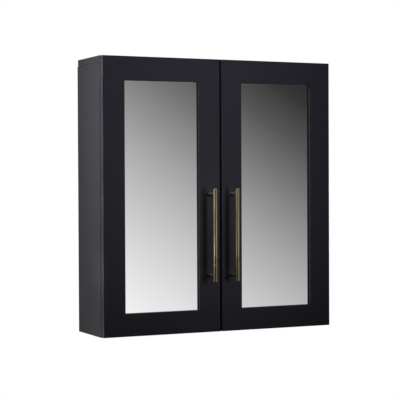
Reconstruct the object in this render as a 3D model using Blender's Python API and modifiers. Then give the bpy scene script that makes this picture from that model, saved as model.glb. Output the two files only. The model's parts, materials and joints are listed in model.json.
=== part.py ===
"""A wall-hung medicine cabinet: a charcoal carcass with two shelves and two mirrored doors.

The doors lie over the carcass edges and swing on four concealed cup hinges.  Metres; X to the right,
Y back towards the wall, Z up.  The origin is the centre of the cabinet's back face, which is on the wall.
"""

import math

import bmesh
import bpy
from mathutils import Matrix, Vector

# Driving dimensions
WIDTH = 0.600
HEIGHT = 0.650
DEPTH = 0.165              # from the wall to the face of the doors
PANEL = 0.015              # thickness of the carcass panels
FIT = 0.0003               # gap kept between pieces that touch
SINK = 0.0003              # how far pieces that are joined into one run into each other
OVERCUT = 0.001            # how far a cutter runs past a face, and further where nothing is in the way
LONG_OVERCUT = 0.01
BACK_T = 0.003             # thickness of the back board
BACK_REBATE = 0.008        # width of the side panels' edge outside the back board
BACK_PLAY = 0.0005         # between the back board and the panels round it

# Doors
DOOR_T = 0.016
DOOR_REVEAL = 0.002        # air between the back of a door and the carcass edge
DOOR_GAP = 0.004           # between the two doors
DOOR_EDGE = 0.0005         # how far a door stops short of the carcass outline at its side
DOOR_END = 0.001           # and at its top and bottom
STILE = 0.054
TOP_RAIL = 0.057           # from the carcass outline to the glass
BOTTOM_RAIL = 0.054
MIRROR_SET_BACK = 0.008    # from the door face to the glass
MIRROR_T = 0.004
MIRROR_LIP = 0.008         # how far the rebate runs under the frame
MIRROR_PLAY = 0.0005       # between the glass and the rebate
BACKING_T = 0.003
BUMPER_R = 0.0045          # a soft pad's base, and its flat top
BUMPER_TOP_R = 0.0030
BUMPER_RIM_T = 0.0008
BUMPER_T = 0.0014
BUMPER_X = 0.014
BUMPER_INSET = 0.0085      # from the cabinet's top and bottom

# Shelves and their pins
SHELF_T = 0.012
SHELF_DEPTH = 0.125
SHELF_HEIGHTS = (-0.105, 0.105)
SHELF_SIDE_GAP = 0.0008
SHELF_REAR = -0.0045       # a shelf's rear edge
PIN_R = 0.0025
PIN_BORE_R = 0.0028
PIN_IN = 0.008
PIN_OUT = 0.009
PIN_INSET = 0.028          # from a shelf's front and back edges
PIN_PITCH = 0.032
PIN_ROWS = (-2, -1, 0, 1, 2)

# Hanging rail and wall hangers
RAIL_H = 0.060
RAIL_T = 0.015
HANGER_X = 0.240
HANGER_W = 0.040
HANGER_H = 0.050
HANGER_T = 0.0015
HANGER_DROP = 0.035        # from the top of the cabinet's inside to the hanger's centre
HANGER_SINK = 0.0011       # from the cabinet's back face to the plate
HANGER_PLAY = 0.0005
KEYHOLE_R = 0.0047
KEYHOLE_LOW = -0.008       # the round hole's centre, from the plate's centre
KEYHOLE_TOP = 0.010        # and the top of its slot
KEYHOLE_SLOT_W = 0.005
POCKET_W = 0.020           # room for a screw's head, behind the plate and in the rail
POCKET_H = 0.036
POCKET_DEPTH = 0.008

# Handles
HANDLE_X = 0.029
HANDLE_Z = -0.093
HANDLE_LENGTH = 0.220
HANDLE_R = 0.005
HANDLE_CHAMFER = 0.0006
HANDLE_STAND_OFF = 0.030   # from the door face to the bar's axis
POST_SPACING = 0.192
POST_R = 0.004
POST_PAST_AXIS = 0.0015    # how far a post stops short of the bar's axis
SCREW_R = 0.0020
SCREW_CLEAR_R = 0.0023
SCREW_HEAD_R = 0.0042
SCREW_HEAD_T = 0.0024
SCREW_DEPTH = 0.010        # how far the screw runs into the post

# Concealed hinges, each with a long outer link and a short inner link.  Their points are given as seen
# from above, for the left side: the first number runs inwards from the carcass's outer face, the second
# runs back from the doors' face.
HINGE_Z = 0.225
OUTER_ARM_PIVOT = (0.0420, 0.0268)
OUTER_CUP_PIVOT = (0.0128, 0.0130)
OUTER_BEND = (0.0235, 0.0125)
INNER_ARM_PIVOT = (0.0316, 0.0089)
INNER_CUP_PIVOT = (0.0147, 0.0084)
INNER_BEND = (0.0283, 0.0072)
INNER_ARM_EYE = (0.0318, 0.0099)   # the open pivot: its eye is wide, and centred on the pin's path in it
INNER_EYE_R = 0.0023
PIVOT_R = 0.0012
PIVOT_EYE_R = 0.0015
OPEN_PIN_R = 0.0010
INNER_LINK_Z = 0.0020              # the inner link reaches this far from the hinge's mid height
NOSE_Z = (0.0023, 0.0040)          # the two plates of the arm's nose, on each side of it
OUTER_LINK_Z = (0.0043, 0.0060)    # the two plates of the outer link, outside the nose

CUP_R = 0.0173
CUP_BORE_R = 0.0176
CUP_INSIDE_R = 0.0165
CUP_FLOOR = 0.0043                 # from the door's face to the outside of the cup's floor
CUP_INSIDE_FLOOR = 0.0050
CUP_X = 0.0212
FLANGE_T = 0.0008
FLANGE_W = 0.022
FLANGE_H = 0.057
FLANGE_STEP = 0.00005              # how far the flange's back lies below the cup's rim
STUB_SHY = 0.0001                  # from the lugs' outer sides to the stubs' ends
STUB_IN_WALL = 0.0004              # how far the stubs run into the cup's wall
LUG_HALF = 0.0016                  # half the width of a lug in the cup
LUG_TOP = 0.0014                   # how far it runs past its pin
LINK_HALF = 0.0020                 # half the width of the outer link, and of the inner one
INNER_LINK_HALF = 0.0018
OUTER_EYE_WALL = 0.0012            # metal round the eyes
INNER_CUP_EYE_WALL = 0.0015
INNER_ARM_EYE_WALL = 0.0008

# The hinge arm's outline as seen from above, from the nose's front round the channel to its rear
ARM_OUTLINE = ((0.0294, 0.0092), (0.0310, 0.0160), (0.0305, 0.0205), (0.0240, 0.0215), (0.0205, 0.0250),
               (0.0205, 0.0420), (0.0305, 0.0420), (0.0310, 0.0360), (0.0400, 0.0306))
ARM_OUTER_END_R = 0.0034
ARM_OUTER_END = (75, 45, 15, -15, -45)
ARM_FRONT = ((0.0368, 0.0180), (0.0338, 0.0085))
ARM_NOSE_R = 0.0022
ARM_NOSE_END = (-35, -65, -95, -125, -155)
# Blocks of the arm and of its plate: two corners and half the height
NOSE_SLOT = ((0.0240, 0.0040), (0.0420, 0.0155), NOSE_Z[0])
ARM_CHANNEL = ((0.0192, 0.0345), (0.0305, 0.0840), 0.0070)
ARM_HOLLOW = ((0.0180, 0.0425), (0.0290, 0.0850), 0.0058)
PLATE_BASE = PANEL + FIT
PLATE_BODY = ((PLATE_BASE, 0.0440), (0.0189, 0.0800), 0.0075)
PLATE_WINGS = ((PLATE_BASE, 0.0490), (0.0175, 0.0610), 0.0240)

FRONT = -DEPTH             # the door face
DOOR_BACK = FRONT + DOOR_T
CARCASS_FRONT = DOOR_BACK + DOOR_REVEAL
INNER_X = WIDTH / 2 - PANEL
INNER_Z = HEIGHT / 2 - PANEL


# ---------------------------------------------------------------- shared tools

def clear_scene():
    for old in list(bpy.data.objects):
        bpy.data.objects.remove(old, do_unlink=True)


def new_collection(name, hidden=False):
    group = bpy.data.collections.new(name)
    bpy.context.scene.collection.children.link(group)
    group.hide_render = hidden
    return group


def finish(name, colour, roughness, metallic=0.0):
    made = bpy.data.materials.new(name)
    made.use_nodes = True
    shader = made.node_tree.nodes["Principled BSDF"]
    shader.inputs["Base Color"].default_value = (*colour, 1.0)
    shader.inputs["Roughness"].default_value = roughness
    shader.inputs["Metallic"].default_value = metallic
    made.diffuse_color = (*colour, 1.0)
    return made


def add_mesh(name, mesh_builder, material, group, at=(0, 0, 0)):
    """One object from a bmesh, with its origin at the point `at`."""
    shape = bmesh.new()
    mesh_builder(shape)
    bmesh.ops.recalc_face_normals(shape, faces=shape.faces)
    mesh = bpy.data.meshes.new(name)
    shape.to_mesh(mesh)
    shape.free()
    made = bpy.data.objects.new(name, mesh)
    made.location = at
    group.objects.link(made)
    if material:
        mesh.materials.append(material)
    return made


def box(name, low, high, material, group):
    """A box between two corners, with its origin at its centre."""
    low, high = Vector(low), Vector(high)
    size = high - low

    def build(shape):
        bmesh.ops.create_cube(shape, size=1.0, matrix=Matrix.Diagonal((*size, 1.0)))

    return add_mesh(name, build, material, group, (low + high) / 2)


def turned(name, profile, at, along, material, group, steps=16):
    """A turned piece: `profile` is (radius, distance) from one end to the other, on the axis `along`."""
    mesh = bpy.data.meshes.new(name)
    points = [(radius, 0.0, distance) for radius, distance in reversed(profile)]
    mesh.from_pydata(points, [(i, i + 1) for i in range(len(points) - 1)], [])
    made = bpy.data.objects.new(name, mesh)
    group.objects.link(made)
    made.location = at
    made.rotation_mode = "QUATERNION"
    made.rotation_quaternion = Vector((0, 0, 1)).rotation_difference(Vector(along))
    screw = made.modifiers.new("turning", "SCREW")
    screw.steps = steps
    screw.render_steps = steps
    screw.use_merge_vertices = True
    screw.merge_threshold = 0.00001
    if material:
        mesh.materials.append(material)
    return made


def rod(name, start, end, radius, material, group, steps=16):
    """A plain round bar between two points."""
    start, end = Vector(start), Vector(end)
    length = (end - start).length
    profile = [(0.0, 0.0), (radius, 0.0), (radius, length), (0.0, length)]
    return turned(name, profile, start, (end - start).normalized(), material, group, steps)


def combine(target, tool, operation):
    change = target.modifiers.new(operation.lower(), "BOOLEAN")
    change.operation = operation
    change.solver = "EXACT"
    change.object = tool


def as_cutter(tool):
    tool.hide_render = True
    tool.display_type = "WIRE"
    return tool


def cut_all(target, tools):
    for tool in tools:
        combine(target, as_cutter(tool), "DIFFERENCE")


def join_all(target, tools):
    for tool in tools:
        combine(target, as_cutter(tool), "UNION")


def one_mesh(tools):
    """Joins separate cutters that don't touch into one object, so that one Boolean does them all."""
    bpy.context.view_layer.update()
    graph = bpy.context.evaluated_depsgraph_get()
    shape = bmesh.new()
    for tool in tools:
        made = bpy.data.meshes.new_from_object(tool.evaluated_get(graph))
        made.transform(tool.matrix_world)
        shape.from_mesh(made)
        bpy.data.meshes.remove(made)
    first = tools[0]
    mesh = bpy.data.meshes.new(first.name + "_set")
    shape.to_mesh(mesh)
    shape.free()
    group = first.users_collection[0]
    joined = bpy.data.objects.new(first.name + "_set", mesh)
    group.objects.link(joined)
    for tool in tools:
        bpy.data.objects.remove(tool, do_unlink=True)
    return joined


# ---------------------------------------------------------------- carcass

def shelf_pin_spots():
    """A short name for each shelf pin, with its y and z."""
    for shelf, height in zip(("lower", "upper"), SHELF_HEIGHTS):
        z = height - SHELF_T / 2 - FIT - PIN_R
        yield f"{shelf}_front", SHELF_REAR - SHELF_DEPTH + PIN_INSET, z
        yield f"{shelf}_rear", SHELF_REAR - PIN_INSET, z


def side_panel(hand, sign, look, parts, cutters):
    """A side, rebated behind for the back board, with rows of holes for the shelf pins."""
    inner = sign * INNER_X
    past_inner = inner - sign * OVERCUT
    near, far = sorted((inner, sign * WIDTH / 2))
    panel = box(f"{hand}_side_panel", (near, CARCASS_FRONT, -HEIGHT / 2), (far, 0.0, INNER_Z - FIT),
                look, parts)
    near, far = sorted((past_inner, sign * (WIDTH / 2 - BACK_REBATE)))
    rebate = box("rebate_cutter", (near, -BACK_T - FIT, -HEIGHT), (far, OVERCUT, HEIGHT), None, cutters)
    hole_end = inner + sign * (PIN_IN + FIT)
    holes = []
    for _, y, z in shelf_pin_spots():
        for row in PIN_ROWS:
            spot = z + row * PIN_PITCH
            holes.append(rod("pin_hole_cutter", (past_inner, y, spot), (hole_end, y, spot), PIN_BORE_R,
                             None, cutters, 12))
    cut_all(panel, [rebate, one_mesh(holes)])


def carcass(look, parts, cutters):
    """The panels, the back board and the hanging rail.  Returns the last two, which the hangers cut."""
    for hand, sign in (("left", -1), ("right", 1)):
        side_panel(hand, sign, look, parts, cutters)
    rear = -BACK_T - BACK_PLAY
    inside = INNER_X - FIT
    box("top_panel", (-WIDTH / 2, CARCASS_FRONT, INNER_Z), (WIDTH / 2, rear, HEIGHT / 2), look, parts)
    box("bottom_panel", (-inside, CARCASS_FRONT, -HEIGHT / 2), (inside, rear, -INNER_Z), look, parts)
    back_x = WIDTH / 2 - BACK_REBATE - FIT
    back_z = HEIGHT / 2 - BACK_PLAY
    back = box("back_board", (-back_x, -BACK_T, -back_z), (back_x, 0.0, back_z), look, parts)
    rail_top = INNER_Z - FIT
    rail_rear = -BACK_T - FIT
    rail = box("hanging_rail", (-inside, rail_rear - RAIL_T, rail_top - RAIL_H),
               (inside, rail_rear, rail_top), look, parts)
    return back, rail


def wall_hangers(back, rail, steel, parts, cutters):
    """Two keyhole plates let into the back board, with room in the rail for the heads of the wall screws."""
    z = INNER_Z - HANGER_DROP
    windows, pockets = [], []
    for hand, sign in (("left", -1), ("right", 1)):
        x = sign * HANGER_X
        half_w, half_h = HANGER_W / 2, HANGER_H / 2
        plate = box(f"{hand}_wall_hanger", (x - half_w, -HANGER_SINK - HANGER_T, z - half_h),
                    (x + half_w, -HANGER_SINK, z + half_h), steel, parts)
        low = z + KEYHOLE_LOW
        head = rod("keyhole_cutter", (x, -LONG_OVERCUT, low), (x, LONG_OVERCUT, low), KEYHOLE_R,
                   None, cutters)
        slot = box("keyhole_slot_cutter", (x - KEYHOLE_SLOT_W / 2, -LONG_OVERCUT, low),
                   (x + KEYHOLE_SLOT_W / 2, LONG_OVERCUT, z + KEYHOLE_TOP), None, cutters)
        cut_all(plate, [head, slot])
        half_w, half_h = half_w + HANGER_PLAY, half_h + HANGER_PLAY
        windows.append(box("hanger_window_cutter", (x - half_w, -LONG_OVERCUT, z - half_h),
                           (x + half_w, OVERCUT, z + half_h), None, cutters))
        pockets.append(box("hanger_pocket_cutter",
                           (x - POCKET_W / 2, -BACK_T - POCKET_DEPTH, z - POCKET_H / 2),
                           (x + POCKET_W / 2, OVERCUT, z + POCKET_H / 2), None, cutters))
    cut_all(back, [one_mesh(windows)])
    cut_all(rail, [one_mesh(pockets)])


def shelves(look, parts):
    half = INNER_X - SHELF_SIDE_GAP
    for name, height in zip(("lower_shelf", "upper_shelf"), SHELF_HEIGHTS):
        box(name, (-half, SHELF_REAR - SHELF_DEPTH, height - SHELF_T / 2),
            (half, SHELF_REAR, height + SHELF_T / 2), look, parts)


def shelf_pins(steel, parts):
    for hand, sign in (("left", -1), ("right", 1)):
        for name, y, z in shelf_pin_spots():
            rod(f"{hand}_{name}_shelf_pin", (sign * (INNER_X + PIN_IN), y, z),
                (sign * (INNER_X - PIN_OUT), y, z), PIN_R, steel, parts, 12)


# ---------------------------------------------------------------- doors and handles

def door_frame(hand, sign, look, parts, cutters):
    """A one-piece frame: a board with a window, rebated behind for the glass and bored for the hardware."""
    near, far = sorted((sign * DOOR_GAP / 2, sign * (WIDTH / 2 - DOOR_EDGE)))
    top = HEIGHT / 2 - DOOR_END
    past_front, past_back = FRONT - LONG_OVERCUT, DOOR_BACK + LONG_OVERCUT
    board = box(f"{hand}_door_frame", (near, FRONT, -top), (far, DOOR_BACK, top), look, parts)

    open_near, open_far = near + STILE, far - STILE
    open_low, open_high = BOTTOM_RAIL - HEIGHT / 2, HEIGHT / 2 - TOP_RAIL
    window = box("window_cutter", (open_near, past_front, open_low), (open_far, past_back, open_high),
                 None, cutters)
    rebate = box("glass_rebate_cutter",
                 (open_near - MIRROR_LIP, FRONT + MIRROR_SET_BACK - FIT, open_low - MIRROR_LIP),
                 (open_far + MIRROR_LIP, past_back, open_high + MIRROR_LIP), None, cutters)
    holes = []
    for z in (HANDLE_Z - POST_SPACING / 2, HANDLE_Z + POST_SPACING / 2):
        holes.append(rod("screw_hole_cutter", (sign * HANDLE_X, past_front, z),
                         (sign * HANDLE_X, past_back, z), SCREW_CLEAR_R, None, cutters, 12))
    cup_x = sign * (WIDTH / 2 - CUP_X)
    for z in (-HINGE_Z, HINGE_Z):
        holes.append(rod("cup_bore_cutter", (cup_x, FRONT + CUP_FLOOR - FIT, z), (cup_x, past_back, z),
                         CUP_BORE_R, None, cutters, 32))
    cut_all(board, [window, rebate, one_mesh(holes)])
    return open_near, open_far, open_low, open_high


def mirror_and_backing(hand, opening, glass, backing, parts):
    near, far, low, high = opening
    lap = MIRROR_LIP - MIRROR_PLAY
    front = FRONT + MIRROR_SET_BACK
    behind = front + MIRROR_T + FIT
    for name, start, thickness, look in (("mirror", front, MIRROR_T, glass),
                                         ("mirror_backing", behind, BACKING_T, backing)):
        box(f"{hand}_{name}", (near - lap, start, low - lap), (far + lap, start + thickness, high + lap),
            look, parts)


def handle(hand, sign, brass, steel, parts, cutters):
    """A T-bar: a round bar on two posts, screwed on from behind the door."""
    x = sign * HANDLE_X
    bar_y = FRONT - HANDLE_STAND_OFF
    half = HANDLE_LENGTH / 2
    small_r = HANDLE_R - HANDLE_CHAMFER
    profile = [(0.0, 0.0), (small_r, 0.0), (HANDLE_R, HANDLE_CHAMFER),
               (HANDLE_R, HANDLE_LENGTH - HANDLE_CHAMFER), (small_r, HANDLE_LENGTH), (0.0, HANDLE_LENGTH)]
    bar = turned(f"{hand}_handle_bar", profile, (x, bar_y, HANDLE_Z - half), (0, 0, 1), brass, parts, 24)
    post_tip = bar_y + POST_PAST_AXIS
    sockets = []
    for place, side in (("lower", -1), ("upper", 1)):
        z = HANDLE_Z + side * POST_SPACING / 2
        sockets.append(rod("post_socket_cutter", (x, post_tip - FIT, z), (x, FRONT, z), POST_R + FIT,
                           None, cutters))
        length = FRONT - FIT - post_tip
        bore_end = length - SCREW_DEPTH - OVERCUT
        post_profile = [(0.0, 0.0), (POST_R, 0.0), (POST_R, length), (SCREW_CLEAR_R, length),
                        (SCREW_CLEAR_R, bore_end), (0.0, bore_end)]
        turned(f"{hand}_handle_{place}_post", post_profile, (x, post_tip, z), (0, 1, 0), brass, parts)
        shank = DOOR_T + SCREW_DEPTH
        screw_profile = [(0.0, 0.0), (SCREW_R, 0.0), (SCREW_R, shank), (SCREW_HEAD_R, shank),
                         (SCREW_HEAD_R, shank + SCREW_HEAD_T * 0.5),
                         (SCREW_HEAD_R * 0.7, shank + SCREW_HEAD_T), (0.0, shank + SCREW_HEAD_T)]
        turned(f"{hand}_handle_{place}_screw", screw_profile, (x, FRONT - SCREW_DEPTH + FIT, z), (0, 1, 0),
               steel, parts, 12)
    cut_all(bar, [one_mesh(sockets)])


def bumpers(hand, sign, rubber, parts):
    """Soft pads on the back of a door, near its free edge, that meet the top and bottom panels."""
    profile = [(0.0, 0.0), (BUMPER_R, 0.0), (BUMPER_R, BUMPER_RIM_T), (BUMPER_TOP_R, BUMPER_T),
               (0.0, BUMPER_T)]
    height = HEIGHT / 2 - BUMPER_INSET
    for place, z in (("lower", -height), ("upper", height)):
        turned(f"{hand}_{place}_door_bumper", profile, (sign * BUMPER_X, DOOR_BACK + FIT, z), (0, 1, 0),
               rubber, parts, 12)


# ---------------------------------------------------------------- hinges

def plan(sign, point, z):
    """The place of a hinge point on the left (-1) or right (+1) side, at the height z."""
    return Vector((sign * (WIDTH / 2 - point[0]), FRONT + point[1], z))


def flat_piece(name, loops, z_low, z_high, material, group):
    """A flat piece from an outline, with any further loops as holes in it."""
    drawing = bpy.data.curves.new(name, "CURVE")
    drawing.dimensions = "2D"
    drawing.fill_mode = "BOTH"
    drawing.extrude = (z_high - z_low) / 2
    for loop in loops:
        spline = drawing.splines.new("POLY")
        spline.points.add(len(loop) - 1)
        for spot, point in zip(loop, spline.points):
            point.co = (spot[0], spot[1], 0.0, 1.0)
        spline.use_cyclic_u = True
    drawn = bpy.data.objects.new(name + "_outline", drawing)
    group.objects.link(drawn)
    bpy.context.view_layer.update()
    graph = bpy.context.evaluated_depsgraph_get()
    flat = bpy.data.meshes.new_from_object(drawn.evaluated_get(graph))
    bpy.data.objects.remove(drawn, do_unlink=True)

    def build(shape):
        shape.from_mesh(flat)
        bmesh.ops.remove_doubles(shape, verts=shape.verts, dist=0.000002)

    made = add_mesh(name, build, material, group, (0, 0, (z_low + z_high) / 2))
    bpy.data.meshes.remove(flat)
    return made


def circle(centre, radius, count=14):
    turn = math.tau / count
    return [(centre[0] + radius * math.cos(turn * i), centre[1] + radius * math.sin(turn * i))
            for i in range(count)]


def link_outline(start, bend, end, half_width, start_r, end_r, count=12, cap=6):
    """A bent strap with a round eye at each end: the middle line is a quadratic curve through its bend."""
    start, bend, end = Vector(start), Vector(bend), Vector(end)
    left, right = [], []
    for i in range(count + 1):
        t = i / count
        spot = start * (1 - t) ** 2 + bend * 2 * t * (1 - t) + end * t ** 2
        along = ((bend - start) * (1 - t) + (end - bend) * t).normalized()
        across = Vector((-along.y, along.x))
        half = half_width
        for centre, radius in ((start, start_r), (end, end_r)):
            reach = radius ** 2 - (spot - centre).length_squared
            if reach > 0:
                half = max(half, math.sqrt(reach))
        left.append(spot + across * half)
        right.append(spot - across * half)

    def cap_points(centre, outward, radius):
        first = math.atan2(outward.y, outward.x) + math.pi / 2
        return [centre + radius * Vector((math.cos(first - math.pi * i / cap),
                                          math.sin(first - math.pi * i / cap))) for i in range(1, cap)]

    ends = cap_points(end, (end - bend).normalized(), end_r)
    starts = cap_points(start, (start - bend).normalized(), start_r)
    return left + ends + right[::-1] + starts


def hinge_points(sign, *points):
    return [plan(sign, point, 0.0).to_2d() for point in points]


def arc(centre, radius, degrees):
    return [(centre[0] + radius * math.cos(turn), centre[1] + radius * math.sin(turn))
            for turn in map(math.radians, degrees)]


def hinge_block(name, sign, z, near, far, half_height, material, group):
    """A box between two hinge points, as high above z as below it."""
    first, second = plan(sign, near, z - half_height), plan(sign, far, z + half_height)
    return box(name, [min(pair) for pair in zip(first, second)], [max(pair) for pair in zip(first, second)],
               material, group)


def hinge_pin(name, sign, point, z, reach, radius, cutters):
    """An upright pin at a hinge point, from z - reach to z + reach."""
    place, half = plan(sign, point, z), Vector((0, 0, reach))
    return rod(name, place - half, place + half, radius, None, cutters, 14)


def outer_link(name, sign, z, steel, parts, cutters):
    """Two bent plates, joined by the pin that turns in the arm."""
    cup, bend, arm = hinge_points(sign, OUTER_CUP_PIVOT, OUTER_BEND, OUTER_ARM_PIVOT)
    eye = PIVOT_EYE_R + OUTER_EYE_WALL
    loops = [link_outline(cup, bend, arm, LINK_HALF, eye, eye), circle(cup, PIVOT_EYE_R)]
    low, high = OUTER_LINK_Z
    upper = flat_piece(name, loops, z + low, z + high, steel, parts)
    lower = flat_piece("link_plate_joint", loops, z - high, z - low, None, cutters)
    pin = hinge_pin("link_pin_joint", sign, OUTER_ARM_PIVOT, z, high - SINK, PIVOT_R, cutters)
    join_all(upper, [pin, lower])


def inner_link(name, sign, z, steel, parts):
    """A single thick bent link, with a running eye in the cup and the open pivot's wide eye at the arm."""
    cup, bend, arm = hinge_points(sign, INNER_CUP_PIVOT, INNER_BEND, INNER_ARM_EYE)
    outline = link_outline(cup, bend, arm, INNER_LINK_HALF, OPEN_PIN_R + INNER_CUP_EYE_WALL,
                           INNER_EYE_R + INNER_ARM_EYE_WALL)
    loops = [outline, circle(cup, OPEN_PIN_R + FIT), circle(arm, INNER_EYE_R)]
    flat_piece(name, loops, z - INNER_LINK_Z, z + INNER_LINK_Z, steel, parts)


def hinge_arm(name, sign, z, steel, parts, cutters):
    """A flat nose that holds both arm pivots, on a channel that sits on the mounting plate."""
    outline = hinge_points(sign, *ARM_OUTLINE, *arc(OUTER_ARM_PIVOT, ARM_OUTER_END_R, ARM_OUTER_END),
                           *ARM_FRONT, *arc(INNER_ARM_PIVOT, ARM_NOSE_R, ARM_NOSE_END))
    pivot, = hinge_points(sign, OUTER_ARM_PIVOT)
    top = NOSE_Z[1]
    arm = flat_piece(name, [outline, circle(pivot, PIVOT_EYE_R)], z - top, z + top, steel, parts)
    slot = hinge_block("nose_slot_cutter", sign, z, *NOSE_SLOT, None, cutters)
    channel = hinge_block("arm_channel_joint", sign, z, *ARM_CHANNEL, None, cutters)
    hollow = hinge_block("arm_hollow_cutter", sign, z, *ARM_HOLLOW, None, cutters)
    pin = hinge_pin("nose_pin_joint", sign, INNER_ARM_PIVOT, z, top - SINK, OPEN_PIN_R, cutters)
    cut_all(arm, [slot])
    join_all(arm, [channel, pin])
    cut_all(arm, [hollow])


def mounting_plate(name, sign, z, steel, parts, cutters):
    """A cross-shaped plate on the side panel, under the arm."""
    plate = hinge_block(name, sign, z, *PLATE_BODY, steel, parts)
    wings = hinge_block("plate_wings_joint", sign, z, *PLATE_WINGS, None, cutters)
    join_all(plate, [wings])


def hinge_cup(name, sign, z, steel, parts, cutters):
    """The cup in the door's bore, with a flange on the door's back and both links' pins inside."""
    centre = plan(sign, (CUP_X, 0.0), z)
    floor, inside = CUP_FLOOR, CUP_INSIDE_FLOOR
    flange_low = DOOR_T + FIT
    rim = flange_low + FLANGE_T
    profile = [(0.0, floor), (CUP_R, floor), (CUP_R, rim), (CUP_INSIDE_R, rim), (CUP_INSIDE_R, inside),
               (0.0, inside)]
    cup = turned(name, profile, centre, (0, 1, 0), steel, parts, 32)
    ears = box("cup_flange_joint",
               (centre.x - FLANGE_W / 2, FRONT + flange_low, z - FLANGE_H / 2),
               (centre.x + FLANGE_W / 2, FRONT + rim - FLANGE_STEP, z + FLANGE_H / 2), None, cutters)
    opening = rod("cup_opening_cutter", centre + Vector((0, flange_low - OVERCUT, 0)),
                  centre + Vector((0, rim + OVERCUT, 0)), (CUP_R + CUP_INSIDE_R) / 2, None, cutters, 32)
    cut_all(ears, [opening])

    wall = math.sqrt(CUP_INSIDE_R ** 2 - (CUP_X - OUTER_CUP_PIVOT[0]) ** 2)
    pieces = [ears]
    for side in (-1, 1):
        start, end = sorted((z + side * (NOSE_Z[1] + STUB_SHY), z + side * (wall + STUB_IN_WALL)))
        pivot = plan(sign, OUTER_CUP_PIVOT, 0.0)
        pieces.append(rod("cup_stub_joint", (pivot.x, pivot.y, start), (pivot.x, pivot.y, end), PIVOT_R,
                          None, cutters, 14))
        low, high = sorted((z + side * NOSE_Z[0], z + side * NOSE_Z[1]))
        pivot = plan(sign, INNER_CUP_PIVOT, 0.0)
        pieces.append(box("cup_lug_joint", (pivot.x - LUG_HALF, FRONT + inside - SINK, low),
                          (pivot.x + LUG_HALF, pivot.y + LUG_TOP, high), None, cutters))
    pieces.append(hinge_pin("cup_pin_joint", sign, INNER_CUP_PIVOT, z, NOSE_Z[1] - SINK, OPEN_PIN_R, cutters))
    join_all(cup, pieces)


def hinges(hand, sign, steel, parts, cutters):
    for place, z in (("lower", -HINGE_Z), ("upper", HINGE_Z)):
        name = f"{hand}_{place}_hinge"
        hinge_cup(f"{name}_cup", sign, z, steel, parts, cutters)
        outer_link(f"{name}_outer_link", sign, z, steel, parts, cutters)
        inner_link(f"{name}_inner_link", sign, z, steel, parts)
        hinge_arm(f"{name}_arm", sign, z, steel, parts, cutters)
        mounting_plate(f"{name}_plate", sign, z, steel, parts, cutters)


def main():
    clear_scene()
    parts = new_collection("medicine_cabinet")
    cutters = new_collection("cutters", hidden=True)
    charcoal = finish("charcoal_laminate", (0.028, 0.029, 0.034), 0.55)
    shelf_look = finish("shelf_laminate", (0.028, 0.029, 0.034), 0.55)
    glass = finish("mirror_glass", (0.85, 0.86, 0.86), 0.03, 1.0)
    backing = finish("backing_board", (0.060, 0.060, 0.062), 0.75)
    brass = finish("aged_brass", (0.26, 0.22, 0.13), 0.38, 1.0)
    steel = finish("nickel_plated_steel", (0.55, 0.54, 0.52), 0.30, 1.0)
    rubber = finish("clear_rubber", (0.45, 0.45, 0.43), 0.50)

    back, rail = carcass(charcoal, parts, cutters)
    wall_hangers(back, rail, steel, parts, cutters)
    shelves(shelf_look, parts)
    shelf_pins(steel, parts)
    for hand, sign in (("left", -1), ("right", 1)):
        opening = door_frame(hand, sign, charcoal, parts, cutters)
        mirror_and_backing(hand, opening, glass, backing, parts)
        handle(hand, sign, brass, steel, parts, cutters)
        bumpers(hand, sign, rubber, parts)
        hinges(hand, sign, steel, parts, cutters)


main()
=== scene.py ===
import json
import math

import bmesh
import bpy
from mathutils import Matrix, Vector

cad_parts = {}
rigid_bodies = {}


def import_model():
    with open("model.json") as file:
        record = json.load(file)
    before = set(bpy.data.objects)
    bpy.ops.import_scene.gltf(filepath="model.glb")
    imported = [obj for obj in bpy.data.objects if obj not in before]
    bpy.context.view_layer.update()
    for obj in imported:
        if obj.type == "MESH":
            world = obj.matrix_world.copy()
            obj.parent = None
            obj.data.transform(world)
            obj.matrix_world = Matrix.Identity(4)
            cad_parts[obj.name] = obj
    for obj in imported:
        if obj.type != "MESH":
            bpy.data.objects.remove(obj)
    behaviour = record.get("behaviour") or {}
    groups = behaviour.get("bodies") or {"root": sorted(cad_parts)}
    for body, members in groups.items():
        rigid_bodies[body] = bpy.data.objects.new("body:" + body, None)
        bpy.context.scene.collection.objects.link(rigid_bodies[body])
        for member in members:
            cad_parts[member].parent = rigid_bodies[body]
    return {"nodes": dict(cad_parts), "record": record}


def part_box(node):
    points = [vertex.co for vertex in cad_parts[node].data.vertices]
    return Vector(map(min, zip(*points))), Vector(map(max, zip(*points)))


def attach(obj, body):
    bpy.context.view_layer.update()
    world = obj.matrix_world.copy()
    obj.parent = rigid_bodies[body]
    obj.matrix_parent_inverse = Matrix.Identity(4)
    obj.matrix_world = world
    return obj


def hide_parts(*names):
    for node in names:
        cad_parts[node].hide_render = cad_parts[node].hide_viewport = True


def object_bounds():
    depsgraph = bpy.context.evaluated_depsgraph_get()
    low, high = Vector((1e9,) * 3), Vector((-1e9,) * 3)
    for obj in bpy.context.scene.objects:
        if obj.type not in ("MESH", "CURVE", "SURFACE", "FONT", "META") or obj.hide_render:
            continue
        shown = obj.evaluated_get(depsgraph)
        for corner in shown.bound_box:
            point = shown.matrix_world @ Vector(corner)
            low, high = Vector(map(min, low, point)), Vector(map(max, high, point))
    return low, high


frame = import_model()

cad_low, cad_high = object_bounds()
nodes = frame["nodes"]
SIGN_OF = {"left": -1, "right": 1}
LEVELS = ("lower", "upper")
ENDS = ("front", "rear")

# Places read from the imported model, in metres
FACE_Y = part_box("left_door_frame")[0].y
DOOR_BACK_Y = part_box("left_door_frame")[1].y
INNER_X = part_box("right_side_panel")[0].x
OUTER_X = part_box("top_panel")[1].x
INSIDE_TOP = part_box("top_panel")[0].z
INSIDE_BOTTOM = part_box("bottom_panel")[1].z

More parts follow.
